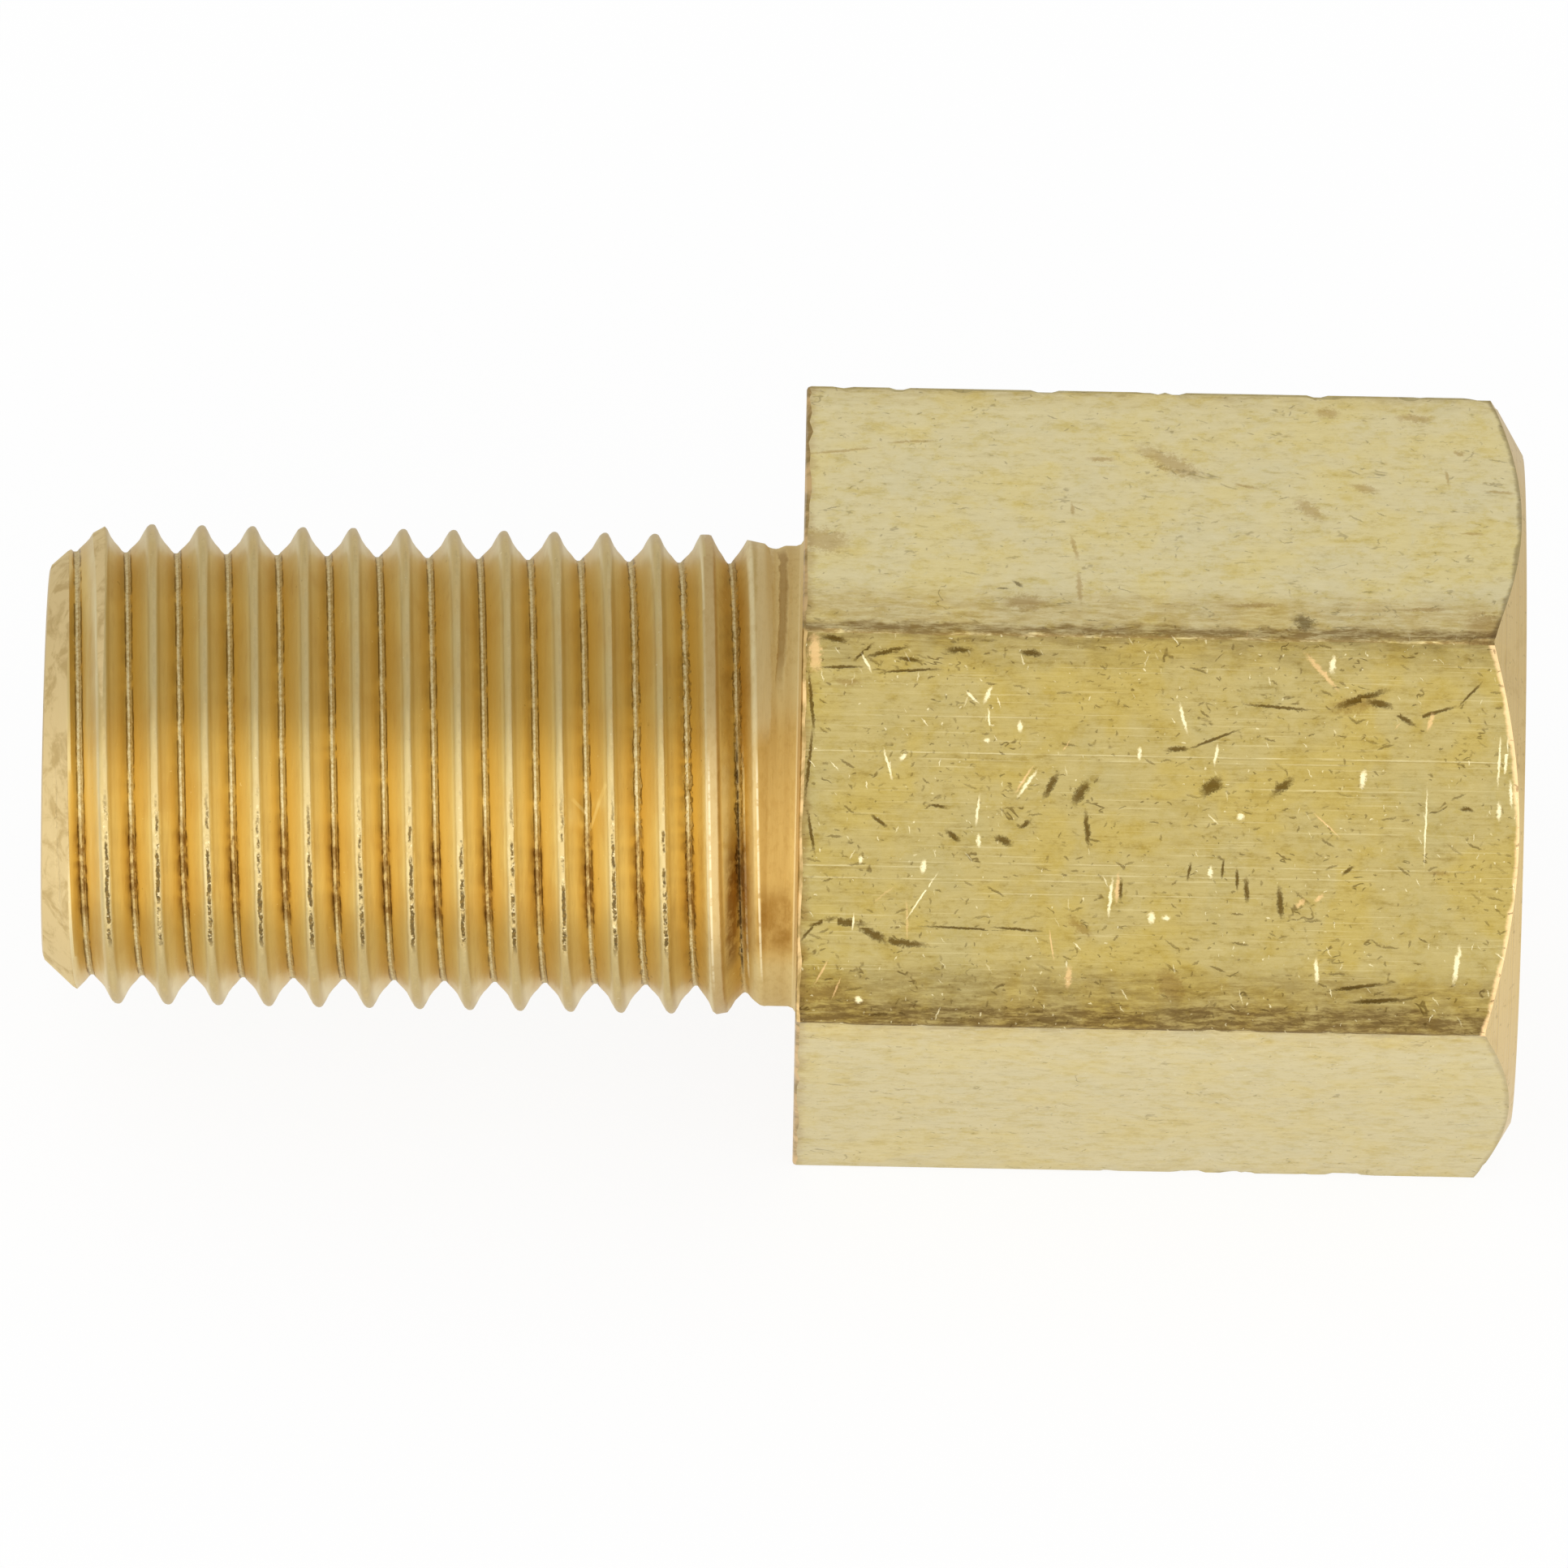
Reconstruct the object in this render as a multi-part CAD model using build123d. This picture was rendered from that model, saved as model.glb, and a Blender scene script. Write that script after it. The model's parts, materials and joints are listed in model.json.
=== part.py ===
from build123d import *
from math import ceil, radians, tan
import os

# Male-to-female thread adapter: one piece, turned from hexagon brass bar, its thread rolled.
# The piece lies along X. The origin is on the axis, in the shoulder plane where the
# stem meets the hexagon. The male stem points to -X and the female mouth to +X.
# All lengths are millimetres and all angles degrees.

# Hexagon bar
HEX_ACROSS_FLATS = 17.0
HEX_LENGTH = 17.8
HEX_CORNER_RADIUS = 0.25        # soft corners that the drawn bar comes with
HEX_END_DIAMETER = 16.6         # flat ring at the open end, inside the corner chamfer
HEX_CHAMFER_ANGLE = 30.0        # of the corner chamfer, from the end face

# Male stem, M12 x 1.25 rolled. Each turn of the thread stands as a closed ring, one for
# each pitch, that rises from the root in two slopes: a flare, then the working flank.
STEM_LENGTH = 18.7              # tip to shoulder
THREAD_MAJOR_DIAMETER = 11.92
THREAD_PITCH = 1.25
THREAD_FLANK_ANGLE = 26.0       # each working flank, from the plane square to the axis
FLANK_DEPTH_PER_PITCH = 0.285   # from the crest down to where the flare begins
THREAD_DEPTH_PER_PITCH = 0.568  # from the crest to the root
LAST_CREST_FROM_SHOULDER = 2.13
LEAD_LENGTH = 1.45              # length of the cone that trims the first crests
LEAD_ANGLE = 30.0               # of that cone, from the axis
TIP_EDGE_BREAK = 0.4            # 45 degree break at the very tip
SHANK_DIAMETER = 11.44          # plain shank between thread and shoulder
SHANK_LENGTH = 0.8
SHANK_RISE_LENGTH = 0.45        # slope from the thread root up to the shank
RUN_OUT_LENGTH = 1.6            # stretch in which the crests sink to the shank
SHOULDER_RELIEF = 0.15          # 45 degree web between shank and shoulder

# Female end, M10 x 1, drawn at the bore that the thread's crests leave
TAPPED_BORE_DIAMETER = 8.917
TAPPED_BORE_DEPTH = 12.0        # of the cylindrical wall, from the open end
MOUTH_DIAMETER = 10.2           # 90 degree countersink at the open end
DRILL_POINT_ANGLE = 118.0

# Passage through the stem
PASSAGE_DIAMETER = 6.0
PASSAGE_EDGE_BREAK = 0.3        # 45 degree break at the tip

# Overlap that makes two solids one, and how far cutting tools pass the part
OVERLAP = 0.1
TOOL_PASS = 2.0

crest_radius = THREAD_MAJOR_DIAMETER / 2
flank_radius = crest_radius - FLANK_DEPTH_PER_PITCH * THREAD_PITCH
root_radius = crest_radius - THREAD_DEPTH_PER_PITCH * THREAD_PITCH
shank_radius = SHANK_DIAMETER / 2
passage_radius = PASSAGE_DIAMETER / 2
tapped_radius = TAPPED_BORE_DIAMETER / 2
mouth_radius = MOUTH_DIAMETER / 2
thread_end = -SHANK_LENGTH - SHANK_RISE_LENGTH


def turned(*points):
    """Solid of revolution about the axis, from (radius, place along the axis) points."""
    half_section = make_face(Polyline(*points, close=True))
    return revolve(Plane.XZ * half_section, Axis.Z)


def threaded_rod():
    """Rod with a ring for each turn of thread, the last of them past the tip."""
    half_ridge = (crest_radius - flank_radius) * tan(radians(THREAD_FLANK_ANGLE))
    crests = ceil((STEM_LENGTH - LAST_CREST_FROM_SHOULDER) / THREAD_PITCH) + 1
    section = [(0, 0), (root_radius, 0)]
    for turn in range(crests):
        crest = -LAST_CREST_FROM_SHOULDER - turn * THREAD_PITCH
        section += [
            (root_radius, crest + THREAD_PITCH / 2),
            (flank_radius, crest + half_ridge),
            (crest_radius, crest),
            (flank_radius, crest - half_ridge),
        ]
    rod_tip = crest - THREAD_PITCH / 2
    return turned(*section, (root_radius, rod_tip), (0, rod_tip))


def stem_outline():
    """Outline that trims the rod: lead cone at the tip and sinking crests at the run-out."""
    lead_slope = tan(radians(LEAD_ANGLE))
    broken_radius = crest_radius - (LEAD_LENGTH - TIP_EDGE_BREAK) * lead_slope
    crest_clear = crest_radius + OVERLAP
    return turned(
        (0, -STEM_LENGTH),
        (broken_radius - TIP_EDGE_BREAK, -STEM_LENGTH),
        (broken_radius, -STEM_LENGTH + TIP_EDGE_BREAK),
        (crest_clear, -STEM_LENGTH + LEAD_LENGTH + OVERLAP / lead_slope),
        (crest_clear, thread_end - RUN_OUT_LENGTH),
        (shank_radius - OVERLAP, -SHANK_LENGTH / 2),
        (0, -SHANK_LENGTH / 2),
    )


def shank():
    """Plain shank, with the slope up from the thread root and the web at the shoulder."""
    return turned(
        (0, thread_end),
        (root_radius, thread_end),
        (shank_radius, -SHANK_LENGTH),
        (shank_radius, -SHOULDER_RELIEF),
        (shank_radius + SHOULDER_RELIEF, 0),
        (shank_radius + SHOULDER_RELIEF, OVERLAP),
        (0, OVERLAP),
    )


def hexagon():
    """Hexagon bar with one chamfered end, flats facing up and down."""
    corner_circle = HEX_ACROSS_FLATS / 2 / tan(radians(60)) * 2
    outline = RegularPolygon(corner_circle, 6)
    outline = fillet(outline.vertices(), HEX_CORNER_RADIUS)
    bar = extrude(outline, HEX_LENGTH)
    end_radius = HEX_END_DIAMETER / 2
    wide_radius = corner_circle + TOOL_PASS
    chamfer_depth = (wide_radius - end_radius) * tan(radians(HEX_CHAMFER_ANGLE))
    chamfer_cone = turned(
        (0, -TOOL_PASS),
        (wide_radius, -TOOL_PASS),
        (wide_radius, HEX_LENGTH - chamfer_depth),
        (end_radius, HEX_LENGTH),
        (0, HEX_LENGTH),
    )
    return bar & chamfer_cone


def hollow():
    """Tapped bore with its mouth and drill point, and the passage through the stem."""
    bore_end = HEX_LENGTH - TAPPED_BORE_DEPTH
    point_depth = tapped_radius / tan(radians(DRILL_POINT_ANGLE / 2))
    bore = turned(
        (0, bore_end - point_depth),
        (tapped_radius, bore_end),
        (tapped_radius, HEX_LENGTH - (mouth_radius - tapped_radius)),
        (mouth_radius, HEX_LENGTH),
        (mouth_radius, HEX_LENGTH + TOOL_PASS),
        (0, HEX_LENGTH + TOOL_PASS),
    )
    passage = turned(
        (0, bore_end),
        (passage_radius, bore_end),
        (passage_radius, -STEM_LENGTH + PASSAGE_EDGE_BREAK),
        (passage_radius + PASSAGE_EDGE_BREAK, -STEM_LENGTH),
        (passage_radius + PASSAGE_EDGE_BREAK, -STEM_LENGTH - TOOL_PASS),
        (0, -STEM_LENGTH - TOOL_PASS),
    )
    return bore + passage


def adapter_body():
    """The whole piece, turned from the modelling axis Z to the part's axis X."""
    stem = (threaded_rod() & stem_outline()) + shank()
    body = stem + hexagon() - hollow()
    return Plane.YZ * body


os.makedirs("parts", exist_ok=True)
export_step(adapter_body(), "parts/adapter_body.step")
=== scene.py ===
import json
import math

import bmesh
import bpy
from mathutils import Matrix, Vector, noise


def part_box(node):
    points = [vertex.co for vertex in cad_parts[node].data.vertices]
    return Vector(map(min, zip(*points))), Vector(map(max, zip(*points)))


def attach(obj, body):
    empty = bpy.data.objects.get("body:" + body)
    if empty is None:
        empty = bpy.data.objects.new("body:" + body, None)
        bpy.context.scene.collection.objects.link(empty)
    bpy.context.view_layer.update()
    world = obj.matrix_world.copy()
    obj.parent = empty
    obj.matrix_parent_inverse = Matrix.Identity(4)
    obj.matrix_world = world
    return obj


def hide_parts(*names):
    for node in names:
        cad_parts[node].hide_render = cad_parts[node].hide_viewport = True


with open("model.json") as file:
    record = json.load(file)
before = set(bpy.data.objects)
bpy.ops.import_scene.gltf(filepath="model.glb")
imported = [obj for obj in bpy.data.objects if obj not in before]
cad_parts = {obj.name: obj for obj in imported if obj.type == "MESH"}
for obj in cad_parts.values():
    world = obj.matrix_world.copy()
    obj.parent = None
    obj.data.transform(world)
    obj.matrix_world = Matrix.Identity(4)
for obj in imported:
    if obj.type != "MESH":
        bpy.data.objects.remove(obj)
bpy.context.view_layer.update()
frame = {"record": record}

# ---------------------------------------------------------------- sizes, in millimetres
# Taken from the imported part
MM = 0.001
NODE = "adapter_body"
node_low, node_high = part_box(NODE)
DIMS = {mount["name"]: mount["dims"] for mount in frame["record"]["mounts"]}
TIP_X, OPEN_END_X = node_low.x / MM, node_high.x / MM
FLOOR_Z, HALF_FLATS = node_low.z / MM, node_high.z / MM
CREST_RADIUS = DIMS["male_thread"]["r_mm"]
BORE_RADIUS = DIMS["tapped_bore"]["r_mm"]
BORE_WALL_LENGTH = DIMS["tapped_bore"]["length_mm"]
PASSAGE_RADIUS = DIMS["passage"]["r_mm"]

# Male thread, M12 x 1.25 rolled from a blank of the shank's size
MALE_PITCH = 1.25
ROOT_RADIUS = 5.25
SHANK_RADIUS = 5.72
SHOULDER_FLARE = 0.15
FLARE_STEPS = ((1.2, 0.0), (0.45, 0.3), (0.0, 1.0))    # its rings, back and out, in shares of it
CREST_X = -0.1206               # where a crest would cross the direction of +Y
CREST_WIDEN = (-2.9, -2.2)      # the last crests come out broad and flat between these
CREST_SINK = (-2.0, -0.75)      # sink to the shank between these
ROOT_RISE = (-1.6, -0.45)       # and the roots rise to it between these
RUN_OUT_START_X = -2.45         # the run-out is marked in its own way from here
TIP_CONES = ((4.87, 0.907), (5.118, 0.577))   # radius at the tip and slope of each cone
TIP_FACE_RADIUS = 4.80
TIP_BREAK = 0.04
SLEEVE_X = (TIP_X + TIP_BREAK, -0.3)          # the threaded sleeve lies between these

# Female thread, M10 x 1 tapped
FEMALE_PITCH = 1.0
GROOVE_RADIUS = 5.0
GROOVE_START = (6.9, 8.2)       # the tap's lead leaves shallow grooves between these
MOUTH_RADIUS = 5.1
MOUTH_BREAK = 0.02
BORE_END_X = OPEN_END_X - (MOUTH_RADIUS - BORE_RADIUS) - BORE_WALL_LENGTH
PLAIN_END = 0.6                 # the bore's last stretch has no grooves
DRILL_POINT_HALF_ANGLE = math.radians(59.0)
DRILL_BREAK = 0.05              # rounding where the drill's point meets the passage
PASSAGE_BREAK = 0.3
PASSAGE_ROWS = 12

# Hexagon
SIXTH = math.radians(60)
CORNER_RADIUS = 0.25
END_CIRCLE_RADIUS = 8.3
CHAMFER_SLOPE = math.tan(math.radians(30.0))
FLAT_REACH = (HALF_FLATS - CORNER_RADIUS) * math.tan(SIXTH / 2)    # from a flat's middle to its corner arc
FLAT_PITCH = 2 * FLAT_REACH + CORNER_RADIUS * SIXTH     # outline of one flat with the corner after it
BURR_WIDTH = 0.13               # broken edge of the shoulder face, on the average
BURR_STEPS = ((0.0, 0.9), (0.3, 0.25), (1.0, 0.0))     # its rings, along and inward, in shares of it
# How far each flat rolls off beside its two corners, as (before, after), in shares of ROLL_DROP
SHOULDER_ROLL = ((0.10, 0.95), (0.35, 0.30), (0.20, 0.10), (0.10, 0.35), (0.30, 0.40), (0.25, 0.10))
ROLL_WIDTH = 1.0
ROLL_DROP = 0.075
DING_REACH = 0.80               # dings lie where the outline is this far or more outside the flats' circle
DING_START = 0.22               # share of the noise that leaves the corner whole
DING_DEPTH = 0.05

# Mesh steps
FLAT_COLUMNS = 24               # along each flat, and CORNER_COLUMNS round each corner
CORNER_COLUMNS = 4
COLUMNS = 6 * (FLAT_COLUMNS + CORNER_COLUMNS)
HEX_ROWS = 96
CHAMFER_ROWS = 3
COLUMN_CROWDING = 0.6           # how far the columns crowd towards the corners, where the flats roll off
SHOULDER_RINGS = (6.4, 7.9)     # radii of rings in the turned faces
END_RINGS = (7.6, 6.4)
TIP_RING = 4.0
WELD = 0.002
SHARP_ANGLE = math.radians(24.0)

# Face regions, which are the piece's material slots: DRAWN and the five after it are the flats
TURNED, ROLLED, RUN_OUT, TAPPED, BURR, DRAWN = range(6)


# ---------------------------------------------------------------- nodes
def linear(hex_colour):
    """sRGB hex to a linear RGBA colour."""
    channels = [int(hex_colour[i:i + 2], 16) / 255 for i in (1, 3, 5)]
    return (*[c / 12.92 if c <= 0.04045 else ((c + 0.055) / 1.055) ** 2.4 for c in channels], 1.0)


def add(tree, kind, values=(), **settings):
    """A node with its settings. values gives its inputs by name or number, and a Value is linked."""
    made = tree.nodes.new(kind)
    for name, value in settings.items():
        setattr(made, name, value)
    for key, value in dict(values).items():
        if isinstance(value, Value):
            tree.links.new(value.socket, made.inputs[key])
        else:
            made.inputs[key].default_value = value
    return made


class Value:
    """One output of a node. Sums of values and numbers are written as in Python, with Math nodes."""

    def __init__(self, node, key=0):
        self.tree, self.socket = node.id_data, node.outputs[key]

    def __add__(self, other):
        return maths("ADD", self, other)

    def __mul__(self, other):
        return maths("MULTIPLY", self, other)

    def __sub__(self, other):
        return maths("SUBTRACT", self, other)

    def __rsub__(self, other):
        return maths("SUBTRACT", other, self)

    def __truediv__(self, other):
        return maths("DIVIDE", self, other)

    def __abs__(self):
        return maths("ABSOLUTE", self)


def maths(operation, *values):
    """A function of values and numbers, one of them a Value at least."""
    tree = next(value.tree for value in values if isinstance(value, Value))
    return Value(add(tree, "ShaderNodeMath", enumerate(values), operation=operation))


def parts(vector):
    """The x, y and z of a vector."""
    node = add(vector.tree, "ShaderNodeSeparateXYZ", {0: vector})
    return [Value(node, key) for key in range(3)]


def ramp(value, start, end, low=0.0, high=1.0, smooth=True):
    """value taken from start..end to low..high, held beyond both."""
    return Value(add(value.tree, "ShaderNodeMapRange", {
        "Value": value, "From Min": start, "From Max": end, "To Min": low, "To Max": high},
        interpolation_type="SMOOTHSTEP" if smooth else "LINEAR"))


def band(value, *edges):
    """1 between the two middle edges, 0 outside the outer two."""
    return ramp(value, edges[0], edges[1]) * ramp(value, edges[3], edges[2])


def blend(share, under, over):
    """Colour under with over laid on it by share. A colour is hex or a Value, and three factors
    in over multiply."""
    mode = "MIX"
    if isinstance(over, tuple):
        mode, over = "MULTIPLY", (*over, 1.0)
    colours = [linear(colour) if isinstance(colour, str) else colour for colour in (under, over)]
    return Value(add(share.tree, "ShaderNodeMix", {0: share, 6: colours[0], 7: colours[1]},
                     data_type="RGBA", blend_type=mode, clamp_factor=True), 2)


def curve(value, points, sharp=False):
    """value through a curve. It bends sharply at its foot, or everywhere."""
    made = add(value.tree, "ShaderNodeFloatCurve", {"Value": value})
    line = made.mapping.curves[0]
    while len(line.points) < len(points):
        line.points.new(0.5, 0.5)
    for point, place in zip(line.points, points):
        point.location = place
        point.handle_type = "VECTOR" if sharp or place[1] == 0.0 else "AUTO"
    made.mapping.update()
    return Value(made)


# ---------------------------------------------------------------- thread, by geometry nodes
THREAD_INPUTS = (
    "Pitch", "Low Radius", "High Radius", "Blank Radius", "First X", "Last X", "Crest X", "Highs Gone X",
    "Highs Full X", "Lows Gone X", "Lows Full X", "Widen Start X", "Widen End X", "Widening",
    "Steep Cone Radius", "Steep Cone Slope", "Flat Cone Radius", "Flat Cone Slope", "Cone X", "Internal",
    "Waviness", "Rows Per Pitch", "Turns", "Columns", "Seed", "Material")
# Kinds of those that aren't floats
INPUT_KINDS = {"Internal": "Bool", "Rows Per Pitch": "Int", "Turns": "Int", "Columns": "Int",
               "Material": "Material"}
WHOLE_TURNS = 64                # added to a phase, so that its fraction is taken from above zero
ROW_CROWDING = 0.6 / (4 * math.pi)


def thread_tree(name, profile):
    """Geometry nodes that bend a grid into a threaded sleeve about X, in millimetres. Its rows
    follow the helix, so the crests are edges of the mesh, and stop at planes square to the axis."""
    tree = bpy.data.node_groups.new(name, "GeometryNodeTree")
    tree.interface.new_socket("Geometry", in_out="OUTPUT", socket_type="NodeSocketGeometry")
    for title in THREAD_INPUTS:
        kind = INPUT_KINDS.get(title, "Float")
        tree.interface.new_socket(title, in_out="INPUT", socket_type="NodeSocket" + kind)
    given = add(tree, "NodeGroupInput")
    (pitch, low, high, blank, first_x, last_x, crest_x, highs_gone, highs_full, lows_gone, lows_full,
     widen_start, widen_end, widening, steep_radius, steep_slope, flat_radius, flat_slope, cone_x, internal,
     waviness, rows_per_pitch, turns, columns, seed, material) = (
         Value(given, title) for title in THREAD_INPUTS)

    grid = add(tree, "GeometryNodeMeshGrid", {
        "Size X": 1.0, "Size Y": 1.0, "Vertices X": rows_per_pitch * (turns + 1.0) + 1.0,
        "Vertices Y": columns + 1.0})
    grid_x, grid_y, _ = parts(Value(add(tree, "GeometryNodeInputPosition")))
    turn = grid_y + 0.5
    even_rise = (grid_x + 0.5) * (turns + 1.0)
    # Rows crowd at crest and root, where the profile bends, and open out on the flanks
    rise = even_rise - maths("SINE", even_rise * (4 * math.pi)) * ROW_CROWDING
    first_crest = maths("FLOOR", (first_x - crest_x) / pitch)
    raw_x = (rise + turn + (first_crest - 1.0)) * pitch + crest_x
    x = maths("MINIMUM", maths("MAXIMUM", raw_x, first_x), last_x)
    height = curve(maths("FRACT", (x - crest_x) / pitch - turn + (0.5 + WHOLE_TURNS)), profile)

    cosine, sine = maths("COSINE", turn * (2 * math.pi)), maths("SINE", turn * (2 * math.pi))
    round_place = Value(add(tree, "ShaderNodeCombineXYZ", {0: x * 2.2, 1: cosine * 6.0, 2: sine * 6.0}))
    rough = Value(add(tree, "ShaderNodeTexNoise", {
        "Vector": round_place, "W": seed, "Scale": 1.1, "Detail": 3.0, "Roughness": 0.65},
        noise_dimensions="4D"))
    widened = ramp(x, widen_start, widen_end) * widening
    fuller = widened + ((rough - 0.5) * waviness + 1.0)
    cut = maths("SMOOTH_MIN", height * fuller * (high - low) + low, high, widened * 0.7)
    proud = cut - blank
    limit = (high - blank) * ramp(x, highs_gone, highs_full, smooth=False)
    highs = maths("MINIMUM", maths("MAXIMUM", proud, 0.0), limit)
    lows = maths("MINIMUM", proud, 0.0) * ramp(x, lows_gone, lows_full, smooth=False)
    radius = blank + (highs + lows)

    steep = (x - cone_x) * steep_slope + steep_radius
    flat = (x - cone_x) * flat_slope + flat_radius
    radius = Value(add(tree, "GeometryNodeSwitch", {
        "Switch": internal, "False": maths("MINIMUM", maths("MINIMUM", radius, steep), flat),
        "True": maths("MAXIMUM", maths("MAXIMUM", radius, steep), flat)}, input_type="FLOAT"))
    place = Value(add(tree, "ShaderNodeCombineXYZ", {0: x, 1: radius * cosine, 2: radius * sine}))
    shape = Value(grid)
    for step, inputs in (("SetPosition", {"Position": place}), ("MergeByDistance", {"Distance": 0.0005}),
                         ("RealizeInstances", {}), ("SetMaterial", {"Material": material})):
        shape = Value(add(tree, "GeometryNode" + step, {"Geometry": shape, **inputs}))
    add(tree, "NodeGroupOutput", {"Geometry": shape})
    return tree


def thread_mesh(name, profile, **inputs):
    """The sleeve as a plain mesh, in millimetres."""
    tree = thread_tree(name, profile)
    holder = bpy.data.objects.new(name, bpy.data.meshes.new(name + "_empty"))
    bpy.context.scene.collection.objects.link(holder)
    sleeve = holder.modifiers.new("thread", "NODES")
    sleeve.node_group = tree
    for item in tree.interface.items_tree:
        if item.in_out == "INPUT":
            sleeve[item.identifier] = inputs[item.name.replace(" ", "_").lower()]
    graph = bpy.context.evaluated_depsgraph_get()
    mesh = bpy.data.meshes.new_from_object(holder.evaluated_get(graph))
    holder.modifiers.remove(sleeve)
    bpy.data.objects.remove(holder)
    return mesh


# Height over one pitch, from root to root: half a flat root strip, a flare, the working flank, a
# full rounded crest and the far flank, which stands steeper near the crest, as the rolls left it
ROLLED_PROFILE = (
    (0.0, 0.0), (0.012, 0.0), (0.07, 0.12), (0.14, 0.24), (0.225, 0.39), (0.29, 0.57), (0.345, 0.765),
    (0.395, 0.90), (0.45, 0.98), (0.50, 1.0), (0.545, 0.968), (0.58, 0.885), (0.615, 0.765), (0.66, 0.60),
    (0.725, 0.42), (0.815, 0.25), (0.874, 0.125), (0.925, 0.0), (1.0, 0.0))
# Grooves of the tapped thread between flat lands
TAPPED_PROFILE = ((0.0, 0.0), (0.12, 0.0), (0.44, 0.97), (0.5, 1.0), (0.56, 0.97), (0.88, 0.0), (1.0, 0.0))


# ---------------------------------------------------------------- single marks
# Scratches across the thread's front as (x where z is 0, lean, lowest z, highest z)
SCRATCHES = ((-5.70, 0.274, 1.97, 3.43), (-3.75, -0.64, 2.30, 2.94))
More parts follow.
